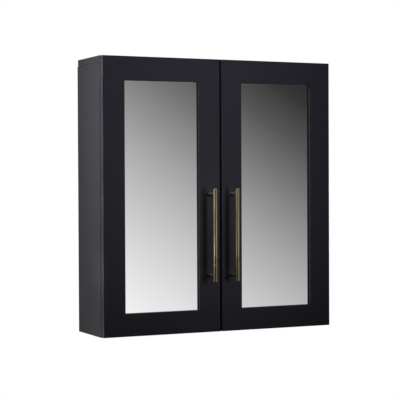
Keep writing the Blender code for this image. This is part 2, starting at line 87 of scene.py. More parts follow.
BACKWARDS = (0, 1, 0)
PLAY = 0.0003            # between a cut and the piece that fits in it
CUT_DEPTH = 0.02         # length of a cutter, longer than the board it cuts is thick

# The camera: a long lens, to the left of the cabinet and about level with its middle
CAMERA_AT = Vector((-1.3955, -3.0010, 0.0413))
CAMERA_YAW = 0.4416
CAMERA_PITCH = 0.0163
CAMERA_ROLL = -0.0044
CAMERA_LENS = 119.39
SENSOR = 36.0


# ---------------------------------------------------------------- node helpers

class Nodes:
    """A small wrapper that adds shader nodes to a material or world and links them."""

    def __init__(self, tree):
        self.tree = tree

    def add(self, kind, **settings):
        made = self.tree.nodes.new(kind)
        for name, value in settings.items():
            setattr(made, name, value)
        return made

    def link(self, source, target):
        self.tree.links.new(source, target)

    def put(self, socket, value):
        """Links the value if another node gives it, or else sets it on the socket."""
        if isinstance(value, bpy.types.NodeSocket):
            self.link(value, socket)
        else:
            socket.default_value = value

    def math(self, operation, first, second=0.0):
        made = self.add("ShaderNodeMath", operation=operation)
        self.put(made.inputs[0], first)
        self.put(made.inputs[1], second)
        return made.outputs[0]

    def blend(self, first, second, share):
        """A share of the first value and the rest of the second."""
        rest = self.math("MULTIPLY", second, 1 - share)
        return self.math("ADD", self.math("MULTIPLY", first, share), rest)

    def place(self, stretch=(1.0, 1.0, 1.0)):
        """Where a point is on its own piece, stretched or squeezed along each axis."""
        where = self.add("ShaderNodeTexCoord")
        mapping = self.add("ShaderNodeMapping")
        mapping.inputs["Scale"].default_value = stretch
        self.link(where.outputs["Object"], mapping.inputs["Vector"])
        return mapping.outputs["Vector"]

    def noise(self, vector, scale, detail=3.0, roughness=0.5):
        made = self.add("ShaderNodeTexNoise")
        made.inputs["Scale"].default_value = scale
        made.inputs["Detail"].default_value = detail
        made.inputs["Roughness"].default_value = roughness
        self.link(vector, made.inputs["Vector"])
        return made.outputs["Fac"]

    def ramp(self, factor, stops):
        """A fade through the stops, each of them a position and a colour or a brightness."""
        made = self.add("ShaderNodeValToRGB")
        ramp = made.color_ramp
        while len(ramp.elements) < len(stops):
            ramp.elements.new(0.5)
        for element, (position, value) in zip(ramp.elements, stops):
            element.position = position
            colour = value if isinstance(value, tuple) else (value, value, value)
            element.color = (*colour, 1.0)
        self.link(factor, made.inputs["Fac"])
        return made.outputs["Color"]

    def spread(self, factor, low, high, from_low=0.0, from_high=1.0):
        """The factor, carried from one range to another."""
        made = self.add("ShaderNodeMapRange")
        made.inputs["From Min"].default_value = from_low
        made.inputs["From Max"].default_value = from_high
        made.inputs["To Min"].default_value = low
        made.inputs["To Max"].default_value = high
        self.link(factor, made.inputs["Value"])
        return made.outputs["Result"]

    def bump(self, height, strength, distance, normal=None):
        """A fine relief, on top of another one if there is one."""
        made = self.add("ShaderNodeBump")
        made.inputs["Strength"].default_value = strength
        made.inputs["Distance"].default_value = distance
        self.link(height, made.inputs["Height"])
        if normal is not None:
            self.link(normal, made.inputs["Normal"])
        return made.outputs["Normal"]


def new_material(name):
    """A material, its nodes and its shader."""
    made = bpy.data.materials.new(name)
    made.use_nodes = True
    return made, Nodes(made.node_tree), made.node_tree.nodes["Principled BSDF"]


# ---------------------------------------------------------------- materials

CHARCOAL = (0.0215, 0.0213, 0.0300)


def charcoal_material():
    """A matt charcoal foil: a fine eggshell grain, faint mottling, and a slightly uneven sheen."""
    made, n, shader = new_material("charcoal_laminate")
    where = n.place()
    mottling = n.noise(where, 9.0, 4.0, 0.55)
    fine = n.noise(where, 900.0, 2.0, 0.6)
    dark = tuple(channel * 0.90 for channel in CHARCOAL)
    light = tuple(channel * 1.10 for channel in CHARCOAL)
    tone = n.blend(mottling, fine, 0.8)
    n.link(n.ramp(tone, ((0.35, dark), (0.65, light))), shader.inputs["Base Color"])
    n.link(n.spread(tone, 0.41, 0.52, 0.3, 0.7), shader.inputs["Roughness"])
    broad = n.noise(where, 140.0, 2.0, 0.5)
    relief = n.bump(broad, 0.10, 0.0004)
    n.link(n.bump(fine, 0.25, 0.00012, relief), shader.inputs["Normal"])
    shader.inputs["Specular IOR Level"].default_value = 0.40
    return made


def mirror_material():
    """Silvered glass: nearly perfect, with a faint haze of wiped smears."""
    made, n, shader = new_material("mirror_glass")
    where = n.place((1.0, 1.0, 0.35))
    haze = n.noise(where, 14.0, 5.0, 0.6)
    n.link(n.spread(haze, 0.004, 0.030, 0.45, 0.80), shader.inputs["Roughness"])
    n.link(n.ramp(haze, ((0.3, (0.872, 0.876, 0.874)), (0.8, (0.860, 0.864, 0.862)))),
           shader.inputs["Base Color"])
    shader.inputs["Metallic"].default_value = 1.0
    return made


def brass_material():
    """Aged brass, brushed along the bar, with darker and browner patches."""
    made, n, shader = new_material("aged_brass")
    brushed = n.noise(n.place((1.0, 1.0, 0.012)), 1500.0, 3.0, 0.6)
    patina = n.noise(n.place((1.0, 1.0, 0.45)), 60.0, 4.0, 0.6)
    tone = n.blend(brushed, patina, 0.35)
    n.link(n.ramp(tone, ((0.30, (0.460, 0.360, 0.180)), (0.52, (0.740, 0.620, 0.350)),
                         (0.72, (0.900, 0.800, 0.520)))), shader.inputs["Base Color"])
    n.link(n.spread(tone, 0.24, 0.38, 0.3, 0.7), shader.inputs["Roughness"])
    n.link(n.bump(brushed, 0.20, 0.00006), shader.inputs["Normal"])
    shader.inputs["Metallic"].default_value = 1.0
    return made


def steel_material():
    """Nickel-plated pressed steel with a faint rolled grain."""
    made, n, shader = new_material("nickel_steel")
    grain = n.noise(n.place((1.0, 1.0, 0.08)), 900.0, 3.0, 0.6)
    cloud = n.noise(n.place(), 70.0, 3.0, 0.5)
    tone = n.blend(grain, cloud, 0.4)
    n.link(n.ramp(tone, ((0.3, (0.46, 0.45, 0.43)), (0.7, (0.62, 0.61, 0.59)))),
           shader.inputs["Base Color"])
    n.link(n.spread(tone, 0.22, 0.38, 0.3, 0.7), shader.inputs["Roughness"])
    n.link(n.bump(grain, 0.12, 0.00005), shader.inputs["Normal"])
    shader.inputs["Metallic"].default_value = 1.0
    return made


def rubber_material():
    """Cloudy clear rubber, which lets a little light through."""
    made, n, shader = new_material("clear_rubber")
    cloud = n.noise(n.place(), 400.0, 2.0, 0.5)
    n.link(n.ramp(cloud, ((0.3, (0.40, 0.40, 0.38)), (0.7, (0.50, 0.50, 0.48)))),
           shader.inputs["Base Color"])
    n.link(n.spread(cloud, 0.42, 0.55), shader.inputs["Roughness"])
    shader.inputs["Transmission Weight"].default_value = 0.3
    return made


def backing_material():
    """Dark hardboard, with the pressed fibre look of its back."""
    made, n, shader = new_material("backing_board")
    fibre = n.noise(n.place((1.0, 1.0, 0.5)), 350.0, 4.0, 0.7)
    n.link(n.ramp(fibre, ((0.3, (0.040, 0.038, 0.036)), (0.7, (0.085, 0.080, 0.074)))),
           shader.inputs["Base Color"])
    n.link(n.spread(fibre, 0.70, 0.88), shader.inputs["Roughness"])
    n.link(n.bump(fibre, 0.5, 0.0003), shader.inputs["Normal"])
    return made


LOOKS = {
    "charcoal_laminate": charcoal_material(),
    "mirror_glass": mirror_material(),
    "aged_brass": brass_material(),
    "nickel_steel": steel_material(),
    "clear_rubber": rubber_material(),
    "backing_board": backing_material(),
}
SLOT_OF = {entry["node"]: entry["material_slot"] for entry in frame["record"]["subparts"]}
BODY_OF = {node: body for body, members in frame["record"]["behaviour"]["bodies"].items()
           for node in members}
DOOR_BODIES = ("left_door", "right_door")

# What the lights are linked to
BEHIND_THE_DOORS = bpy.data.collections.new("behind_the_doors")
HANDLE_BARS = bpy.data.collections.new("handle_bars")
HANDLE_POSTS = bpy.data.collections.new("handle_posts")
NOT_THE_MIRRORS = bpy.data.collections.new("not_the_mirrors")
NOT_THE_BARS = bpy.data.collections.new("not_the_bars")

# Rounded edges
PANEL_EDGE = 0.0006
SHELF_EDGE = 0.0007
STEEL_EDGE = 0.0002
WELD_DISTANCE = 0.00002
STEEL_ENDINGS = ("_link", "hinge_arm", "hinge_plate")
BOARD_EDGES = {"top_panel": PANEL_EDGE, "bottom_panel": PANEL_EDGE,
               "lower_shelf": SHELF_EDGE, "upper_shelf": SHELF_EDGE}


def dress(node):
    """Gives a CAD node its finish and, if it is a board or steel, small rounded edges."""
    kept = nodes[node]
    kept.data.materials.clear()
    kept.data.materials.append(LOOKS[SLOT_OF[node]])
    if BODY_OF[node] not in DOOR_BODIES:
        BEHIND_THE_DOORS.objects.link(kept)
    edge = STEEL_EDGE if node.endswith(STEEL_ENDINGS) else BOARD_EDGES.get(node, 0.0)
    if edge:
        weld = kept.modifiers.new("weld", "WELD")
        weld.merge_threshold = WELD_DISTANCE
        rounding = kept.modifiers.new("edges", "BEVEL")
        rounding.width = edge
        rounding.segments = 2
        rounding.limit_method = "ANGLE"
        rounding.angle_limit = math.radians(40)
        rounding.harden_normals = True


# ---------------------------------------------------------------- mesh tools

def settle(mesh, angle=35.0):
    """Smooth shading, with edges sharper than the angle kept sharp."""
    mesh.shade_smooth()
    mesh.set_sharp_from_angle(angle=math.radians(angle))
    return mesh


def from_bmesh(name, shape):
    """The shape as a mesh whose faces all look outwards."""
    bmesh.ops.recalc_face_normals(shape, faces=shape.faces)
    mesh = bpy.data.meshes.new(name)
    shape.to_mesh(mesh)
    shape.free()
    return mesh


def lathe(name, profile, steps):
    """A turned mesh about Z from (radius, height) points, from one end to the other."""
    shape = bmesh.new()
    rings = []
    for radius, height in profile:
        if radius < 1e-7:
            rings.append([shape.verts.new((0.0, 0.0, height))])
            continue
        rings.append([shape.verts.new((radius * math.cos(math.tau * i / steps),
                                       radius * math.sin(math.tau * i / steps), height))
                      for i in range(steps)])
    for ring, following in zip(rings, rings[1:]):
        for i in range(steps):
            j = (i + 1) % steps
            corners = list(dict.fromkeys((ring[i % len(ring)], ring[j % len(ring)],
                                          following[j % len(following)], following[i % len(following)])))
            if len(corners) > 2:
                shape.faces.new(corners)
    return settle(from_bmesh(name, shape))


def softened(points, radius, steps=4, closed=False):
    """The same line with each corner rounded off."""
    out = []
    count = len(points)
    for i, point in enumerate(points):
        if not closed and i in (0, count - 1):
            out.append(tuple(point))
            continue
        corner = Vector(point)
        before, after = Vector(points[i - 1]) - corner, Vector(points[(i + 1) % count]) - corner
        cut = min(radius, before.length * 0.45, after.length * 0.45)
        first, last = corner + before.normalized() * cut, corner + after.normalized() * cut
        for k in range(steps + 1):
            t = k / steps
            out.append(tuple(first * (1 - t) ** 2 + corner * 2 * t * (1 - t) + last * t ** 2))
    return out


def rod(name, radius, start, end, steps, rounding=0.0):
    """A round bar along Z from start to end, with rounded ends if asked."""
    profile = [(0.0, start), (radius, start), (radius, end), (0.0, end)]
    return lathe(name, softened(profile, rounding) if rounding else profile, steps)


def plate(name, outline, thickness):
    """A flat mesh in XY from an outline, centred on z = 0, with slightly rounded edges."""
    drawing = bpy.data.curves.new(name, "CURVE")
    drawing.dimensions = "2D"
    drawing.fill_mode = "BOTH"
    drawing.extrude = thickness / 2 - STEEL_EDGE
    drawing.bevel_depth = STEEL_EDGE
    drawing.bevel_resolution = 1
    drawing.offset = -STEEL_EDGE
    line = drawing.splines.new("POLY")
    line.points.add(len(outline) - 1)
    for (x, y), point in zip(outline, line.points):
        point.co = (x, y, 0.0, 1.0)
    line.use_cyclic_u = True
    drawn = bpy.data.objects.new(name, drawing)
    bpy.context.scene.collection.objects.link(drawn)
    graph = bpy.context.evaluated_depsgraph_get()
    mesh = bpy.data.meshes.new_from_object(drawn.evaluated_get(graph))
    bpy.data.objects.remove(drawn)
    shape = bmesh.new()
    shape.from_mesh(mesh)
    bmesh.ops.remove_doubles(shape, verts=shape.verts, dist=0.000002)
    return settle(from_bmesh(name, shape))


def block(name, size, edge, segments):
    """A box centred on the origin with rounded edges."""
    shape = bmesh.new()
    bmesh.ops.create_cube(shape, size=1.0, matrix=Matrix.Diagonal((*size, 1.0)))
    bmesh.ops.bevel(shape, geom=shape.edges, offset=edge, segments=segments, profile=0.5, affect="EDGES")
    return settle(from_bmesh(name, shape), 50.0)


def moved(mesh, matrix):
    """A copy of the mesh, put elsewhere."""
    copy = mesh.copy()
    copy.transform(matrix)
    return copy


def joined(name, meshes):
    """Several meshes as one, which stay separate shells."""
    shape = bmesh.new()
    for mesh in meshes:
        shape.from_mesh(mesh)
    return settle(from_bmesh(name, shape))


def carved(mesh, cutter):
    """The mesh less the cutter."""
    solid = bpy.data.objects.new("solid", mesh)
    tool = bpy.data.objects.new("tool", cutter)
    for made in (solid, tool):
        bpy.context.scene.collection.objects.link(made)
    change = solid.modifiers.new("cut", "BOOLEAN")
    change.operation = "DIFFERENCE"
    change.solver = "EXACT"
    change.object = tool
    graph = bpy.context.evaluated_depsgraph_get()
    result = bpy.data.meshes.new_from_object(solid.evaluated_get(graph))
    bpy.data.objects.remove(solid)
    bpy.data.objects.remove(tool)
    return settle(result)


def facing(at, along):
    """A placing that turns +Z to `along` and moves the origin to `at`."""
    turn = Vector((0, 0, 1)).rotation_difference(Vector(along))
    return Matrix.Translation(at) @ turn.to_matrix().to_4x4()


def tilted(matrix, degrees):
    """The same placing, turned about its own Z."""
    return matrix @ Matrix.Rotation(math.radians(degrees), 4, "Z")


def place(name, mesh, slot, body, *stands_for, at=None):
    """Puts a new piece in the scene, with its finish and the body it moves with."""
    made = bpy.data.objects.new(name, mesh)
    bpy.context.scene.collection.objects.link(made)
    if at is not None:
        made.matrix_world = at
    if not mesh.materials:
        mesh.materials.append(LOOKS[slot])
    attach(made, body)
    if body not in DOOR_BODIES:
        BEHIND_THE_DOORS.objects.link(made)
    if stands_for:
        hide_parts(*stands_for)
    return made


def flat_shaded_edges(made):
    """Keeps large flat faces flat next to small roundings."""
    weights = made.modifiers.new("flat_faces", "WEIGHTED_NORMAL")
    weights.keep_sharp = True


def middle(node):
    """The centre of a CAD node's box."""
    low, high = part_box(node)
    return (low + high) / 2


# ---------------------------------------------------------------- screws

NECK = 0.0006            # how far a screw's neck runs below the face its head stands on
HEAD_RIM = 0.35          # the upright part of a head, as a share of its height
HEAD_SINK = 0.0001       # how far a head sinks into the face it stands on


def screw_head(name, radius, height, recess):
    """A shallow domed head with a cross recess, standing on z = 0."""
    dome = [(0.0, -NECK), (radius * 0.6, -NECK), (radius, 0.0), (radius, height * HEAD_RIM)]
    steps = 6
    for k in range(1, steps):
        turn = math.radians(90) * k / steps
        dome.append((radius * math.cos(turn), height * (HEAD_RIM + (1 - HEAD_RIM) * math.sin(turn))))
    dome.append((0.0, height))
    head = lathe(name, dome, 28)
    arm = moved(block("slot", (recess, recess * 0.30, height * 1.1), recess * 0.06, 1),
                Matrix.Translation((0, 0, height * 1.05)))
    for angle in (0.0, math.pi / 2):
        head = carved(head, moved(arm, Matrix.Rotation(angle, 4, "Z")))
    head.name = name
    return head


# ---------------------------------------------------------------- doors

GLASS_LAP = 0.0075       # how far the glass runs under the frame, past the opening
GLASS_PLAY = 0.0005      # from the glass's edge to the rebate's wall
FRAME_EDGE = 0.0011      # roundings of the door frame's edges
OPENING_EDGE = 0.0007
BACK_EDGE = 0.0005
CUP_BORE_R = 0.0176


def frame_mesh(name, low, high, opening, step_y):
    """A frame of nested rectangles: outer wall, rounded face, reveal, rebate for the glass, and back."""
    near, far, bottom, top = opening
    back, front = high.y, low.y
    loops = []

    def outer(inset, y):
        loops.append((low.x + inset, high.x - inset, low.z + inset, high.z - inset, y))

    def inner(outset, y):
        loops.append((near - outset, far + outset, bottom - outset, top + outset, y))

    steps = 4
    outer(0.0, back - BACK_EDGE)
    for k in range(steps + 1):
        turn = math.radians(90) * k / steps
        outer(FRAME_EDGE * (1 - math.cos(turn)), front + FRAME_EDGE * (1 - math.sin(turn)))
    for k in range(steps + 1):
        turn = math.radians(90) * k / steps
        inner(OPENING_EDGE * (1 - math.sin(turn)), front + OPENING_EDGE * (1 - math.cos(turn)))
    inner(0.0, step_y)
    inner(GLASS_LAP + GLASS_PLAY, step_y)
    inner(GLASS_LAP + GLASS_PLAY, back - BACK_EDGE)
    inner(GLASS_LAP + GLASS_PLAY + BACK_EDGE, back)
    outer(BACK_EDGE, back)
    shape = bmesh.new()
    rings = [[shape.verts.new(spot) for spot in ((x0, y, z0), (x1, y, z0), (x1, y, z1), (x0, y, z1))]
             for x0, x1, z0, z1, y in loops]
    for ring, following in zip(rings, rings[1:] + rings[:1]):
        for i in range(4):
            j = (i + 1) % 4
            shape.faces.new((ring[i], ring[j], following[j], following[i]))
    return settle(from_bmesh(name, shape), 40.0)


def doors():
    """The two frames, each bored for the cups of its hinges."""
    bore = rod("bore", CUP_BORE_R, 0.0, CUT_DEPTH, 64)
    for hand in SIGN_OF:
        body = f"{hand}_door"
        low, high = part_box(f"{hand}_door_frame")
        glass_low, glass_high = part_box(f"{hand}_mirror")
        opening = (glass_low.x + GLASS_LAP, glass_high.x - GLASS_LAP,
                   glass_low.z + GLASS_LAP, glass_high.z - GLASS_LAP)
        mesh = frame_mesh(f"{hand}_frame", low, high, opening, glass_low.y - PLAY)
        bores = []
        for level in LEVELS:
            cup_low, cup_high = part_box(f"{hand}_{level}_hinge_cup")
            centre = (cup_low + cup_high) / 2
            bores.append(moved(bore, facing((centre.x, cup_low.y - PLAY, centre.z), BACKWARDS)))
        made = place(f"{hand}_frame", carved(mesh, joined("bores", bores)), "charcoal_laminate", body,
                     f"{hand}_door_frame")
        flat_shaded_edges(made)


# ---------------------------------------------------------------- handles

BAR_END_EDGE = 0.0009
POST_EDGE = 0.0004


def handles():
    """Turned brass bars with softened ends, each on two round posts."""
    for hand in SIGN_OF:
        body = f"{hand}_door"
        low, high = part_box(f"{hand}_handle_bar")
        bar = rod(f"{hand}_bar", (high.x - low.x) / 2, 0.0, high.z - low.z, 64, BAR_END_EDGE)
        centre = (low + high) / 2
        HANDLE_BARS.objects.link(place(f"{hand}_bar", bar, "aged_brass", body, f"{hand}_handle_bar",
                                       at=Matrix.Translation((centre.x, centre.y, low.z))))
        for level in LEVELS:
            name = f"{hand}_handle_{level}_post"
            low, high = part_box(name)
            centre = (low + high) / 2
            post = rod(f"{hand}_{level}_post", (high.x - low.x) / 2, 0.0, high.y - low.y, 48, POST_EDGE)
            HANDLE_POSTS.objects.link(place(f"{hand}_{level}_post", post, "aged_brass", body, name,
                                            at=facing((centre.x, low.y, centre.z), BACKWARDS)))


def handle_screws(head):
    """The heads of the screws that hold the handles, each turned its own way."""
    for hand, sign in SIGN_OF.items():
        for level, turn in (("lower", 20 + 15 * sign), ("upper", 65 - 10 * sign)):
            node = f"{hand}_handle_{level}_screw"
            centre = middle(node)
            at = facing((centre.x, DOOR_BACK_Y, centre.z), BACKWARDS)
            place(f"{hand}_handle_{level}_screw_head", head, "nickel_steel", f"{hand}_door", node,
                  at=tilted(at, turn))


# ---------------------------------------------------------------- carcass

PIN_HOLE_R = 0.0028
PIN_HOLE_DEPTH = 0.0083
PIN_HOLE_PITCH = 0.032
PIN_HOLE_ROWS = (-2, -1, 0, 1, 2)
REBATE_PAST = 0.004      # how far the rebate's cutter runs past the panel's inner face
REBATE_LENGTH = 2.0

PIN_R = 0.0025
PIN_TIP_R = 0.0019
PIN_TIP_SLOPE = 0.0006
COLLAR_R = 0.0036
COLLAR_T = 0.0006
COLLAR_AT = 0.0083       # the collar and the tip, from the pin's hidden end
TIP_AT = 0.0170
PIN_SUNK = 0.0080        # from the panel's inner face to that end

CAM_COVER_R = 0.0085
CAM_COVER_T = 0.0012
CAM_COVER_EDGE = 0.0006
CAM_COVER_INSET = 0.026
CAM_COVER_Y = {"front": -0.118, "rear": -0.046}

NAIL_R = 0.0020
NAIL_ROWS = (-0.255, -0.155, -0.052, 0.052, 0.155, 0.225)
NAIL_COLUMNS = (-0.225, -0.110, 0.0, 0.110, 0.225)
NAIL_INSET = (0.0035, 0.0070)      # from the back board's sides, and from its top and bottom
NAIL_SINK = 0.00005

HANGER_SCREW_X = 0.0145            # from the middle of a hanger


def side_panels():
    """Rounded boards with a rebate for the back board and two columns of clean shelf-pin holes."""
    back_low, back_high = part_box("back_board")
    rebate_edge = back_high.x + PLAY
    rebate_width = rebate_edge - INNER_X + REBATE_PAST
    rebate = block("rebate", (rebate_width, CUT_DEPTH, REBATE_LENGTH), 0.0001, 1)
    hole = rod("hole", PIN_HOLE_R, 0.0, CUT_DEPTH, 24)
    for hand, sign in SIGN_OF.items():
        node = f"{hand}_side_panel"
        low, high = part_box(node)
        board = moved(block("board", high - low, PANEL_EDGE, 3), Matrix.Translation((low + high) / 2))
        cutters = []
        for level in LEVELS:
            for end in ENDS:
                pin = middle(f"{hand}_{level}_{end}_shelf_pin")
                for row in PIN_HOLE_ROWS:
                    spot = (sign * (INNER_X + PIN_HOLE_DEPTH), pin.y, pin.z + row * PIN_HOLE_PITCH)
                    cutters.append(moved(hole, facing(spot, (-sign, 0, 0))))
        rebate_at = (sign * (rebate_edge - rebate_width / 2), back_low.y - PLAY + CUT_DEPTH / 2, 0.0)
        cutters.append(moved(rebate, Matrix.Translation(rebate_at)))
        mesh = carved(board, joined("cutters", cutters))
        flat_shaded_edges(place(f"{hand}_side", mesh, "charcoal_laminate", "root", node))


def shelf_pins():
    """Nickel pins with a thin collar near the panel and a sloped tip."""
    profile = [(0.0, 0.0), (PIN_R, 0.0), (PIN_R, COLLAR_AT), (COLLAR_R, COLLAR_AT),
               (COLLAR_R, COLLAR_AT + COLLAR_T), (PIN_R, COLLAR_AT + COLLAR_T),
               (PIN_R, TIP_AT - PIN_TIP_SLOPE), (PIN_TIP_R, TIP_AT), (0.0, TIP_AT)]
    pin = lathe("shelf_pin", profile, 32)
    for hand, sign in SIGN_OF.items():
        for level in LEVELS:
            for end in ENDS:
                node = f"{hand}_{level}_{end}_shelf_pin"
                centre = middle(node)
                at = facing((sign * (INNER_X + PIN_SUNK), centre.y, centre.z), (-sign, 0, 0))
                place(f"{hand}_{level}_{end}_pin", pin, "nickel_steel", "root", node, at=at)


def cam_covers():
    """Round cover caps over the cams that hold the top and bottom panels to the sides."""
    cap = rod("cam_cover", CAM_COVER_R, 0.0, CAM_COVER_T, 40, CAM_COVER_EDGE)
    for hand, sign in SIGN_OF.items():
        for level, z, up in (("bottom", INSIDE_BOTTOM, 1), ("top", INSIDE_TOP, -1)):
            for end, y in CAM_COVER_Y.items():
                place(f"{hand}_{level}_{end}_cam_cover", cap, "charcoal_laminate", "root",
                      at=facing((sign * (INNER_X - CAM_COVER_INSET), y, z), (0, 0, up)))


def back_nails():
    """Small flat nail heads round the edge of the back board."""
    profile = softened([(0.0, 0.0), (NAIL_R, 0.0), (NAIL_R, 0.00035), (0.0, 0.0005)], 0.0002, 2)
    nail = lathe("nail_head", profile, 20)
    low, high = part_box("back_board")
    spots = [(x, z) for x in (low.x + NAIL_INSET[0], high.x - NAIL_INSET[0]) for z in NAIL_ROWS]
    spots += [(x, z) for z in (low.z + NAIL_INSET[1], high.z - NAIL_INSET[1]) for x in NAIL_COLUMNS]
    for index, (x, z) in enumerate(spots):
        place(f"back_nail_{index + 1:02d}", nail, "nickel_steel", "root",
              at=facing((x, high.y - NAIL_SINK, z), BACKWARDS))


def hanger_screws(head):
    """Two screws in each wall hanger plate, on both sides of its keyhole."""
    for hand in SIGN_OF:
        low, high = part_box(f"{hand}_wall_hanger")
        centre = (low + high) / 2
        for side, across in SIGN_OF.items():
            at = facing((centre.x + across * HANGER_SCREW_X, high.y - HEAD_SINK, centre.z), BACKWARDS)
            place(f"{hand}_hanger_screw_{side}", head, "nickel_steel", "root",
                  at=tilted(at, 30 + 25 * across))


# ---------------------------------------------------------------- mirror clips and bumpers

CLIP_HALF = 0.0055
CLIP_BACK, CLIP_REACH = -0.009, 0.013      # its two ends, from its own origin
CLIP_ROUND = 0.005
CLIP_T = 0.0009
CLIP_LIFT = 0.00055      # from the door's back to the clip's middle
CLIP_HEAD_LIFT = 0.0004  # from there to its screw's head
CLIP_SET_BACK = 0.0045   # from the backing board's edge to the clip's origin
CLIP_SCREW_BACK = 0.002  # and from there to the screw
CLIP_ROWS = (-0.150, 0.0, 0.150)

BUMPER_R = 0.0045
BUMPER_FOOT_R = 0.0046
BUMPER_FOOT_H = 0.0003
BUMPER_DOME_H = 0.0011


def mirror_clips(head):
    """Flat turn-clips on the back of each door that hold the mirror and its backing in the rebate."""
    corners = [(-CLIP_HALF, CLIP_BACK), (CLIP_HALF, CLIP_BACK),
               (CLIP_HALF, CLIP_REACH), (-CLIP_HALF, CLIP_REACH)]
    clip = plate("mirror_clip", softened(corners, CLIP_ROUND, 5, closed=True), CLIP_T)
    for hand in SIGN_OF:
        body = f"{hand}_door"
        low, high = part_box(f"{hand}_mirror_backing")
        centre = (low + high) / 2
        y = DOOR_BACK_Y + CLIP_LIFT
        spots = [(x, z, Vector((inward, 0, 0)))
                 for x, inward in ((low.x, 1), (high.x, -1)) for z in CLIP_ROWS]
        spots += [(centre.x, z, Vector((0, 0, inward))) for z, inward in ((low.z, 1), (high.z, -1))]
        for index, (x, z, inward) in enumerate(spots):
            side = inward.cross(Vector(BACKWARDS))
            turn = Matrix((side, inward, BACKWARDS)).transposed()
            at = Vector((x, y, z)) - inward * CLIP_SET_BACK
            place(f"{hand}_mirror_clip_{index + 1}", clip, "nickel_steel", body,
                  at=Matrix.Translation(at) @ turn.to_4x4())
            screw_at = Vector((at.x, y + CLIP_HEAD_LIFT, at.z)) - inward * CLIP_SCREW_BACK
            place(f"{hand}_mirror_clip_screw_{index + 1}", head, "nickel_steel", body,
                  at=tilted(facing(screw_at, BACKWARDS), 17 + 41 * index))


def bumpers():
    """Soft domes on the doors' backs."""
    profile = [(0.0, 0.0), (BUMPER_R, 0.0), (BUMPER_FOOT_R, BUMPER_FOOT_H)]
    steps = 7
    for k in range(1, steps):
        turn = math.radians(90) * k / steps
        profile.append((BUMPER_R * math.cos(turn), BUMPER_FOOT_H + BUMPER_DOME_H * math.sin(turn)))
    profile.append((0.0, BUMPER_FOOT_H + BUMPER_DOME_H))
    dome = lathe("door_bumper", profile, 32)
    for hand in SIGN_OF:
        for level in LEVELS:
            node = f"{hand}_{level}_door_bumper"
            centre = middle(node)
            place(f"{hand}_{level}_bumper", dome, "clear_rubber", f"{hand}_door", node,
                  at=facing((centre.x, DOOR_BACK_Y, centre.z), BACKWARDS))


# ---------------------------------------------------------------- hinges

CUP_R = 0.0173
CUP_INSIDE_R = 0.0165
CUP_FLOOR_T = 0.0007
STUB_PIN = (0.0128, 0.0130, 0.0012)      # the outer link's pin in the cup: inwards, backwards, radius
CUP_PIN = (0.0147, 0.0084, 0.0010)       # the inner link's pin in the cup
LUG_Z = (0.0023, 0.0041)                 # the two lugs that hold it, on each side of the hinge's middle
LUG_WIDTH = 0.0032
LUG_TOP = 0.0014                         # how far a lug runs past the pin's axis
SHELL_SINK = 0.0003                      # how far a pin or lug runs into the cup
FLANGE_HALF = 0.0110
FLANGE_ROUND = 0.0075
FLANGE_T = 0.0008
FLANGE_DROP = 0.00045                    # from the cup's rim to the flange's middle
CUP_SCREW_Z = 0.0225
PLATE_SCREW = (0.0175, 0.0550, 0.0160)   # inwards, backwards, and up or down from the hinge's middle
ARM_SCREW_IN = 0.0304
LYING_TO_UPRIGHT = Matrix(((1, 0, 0, 0), (0, 0, -1, 0), (0, 1, 0, 0), (0, 0, 0, 1)))


def plan(sign, inwards, backwards, z):
    """A hinge point: inwards from the carcass's outer face, backwards from the doors' face."""
    return Vector((sign * (OUTER_X - inwards), FACE_Y + backwards, z))


def flange_ear(side, reach):
    """Half of the cup's flange: it starts in the cup's wall and has a rounded far end."""
    radius = (CUP_R + CUP_INSIDE_R) / 2
    start = math.acos(FLANGE_HALF / radius)
    near = radius * math.sin(start)
    outline = softened([(FLANGE_HALF, near), (FLANGE_HALF, reach), (-FLANGE_HALF, reach),
                        (-FLANGE_HALF, near)], FLANGE_ROUND, 6)
    steps = 16
    for k in range(1, steps):
        turn = math.pi - start + (2 * start - math.pi) * k / steps
        outline.append((radius * math.cos(turn), radius * math.sin(turn)))
    return [(side * x, side * z) for x, z in outline]


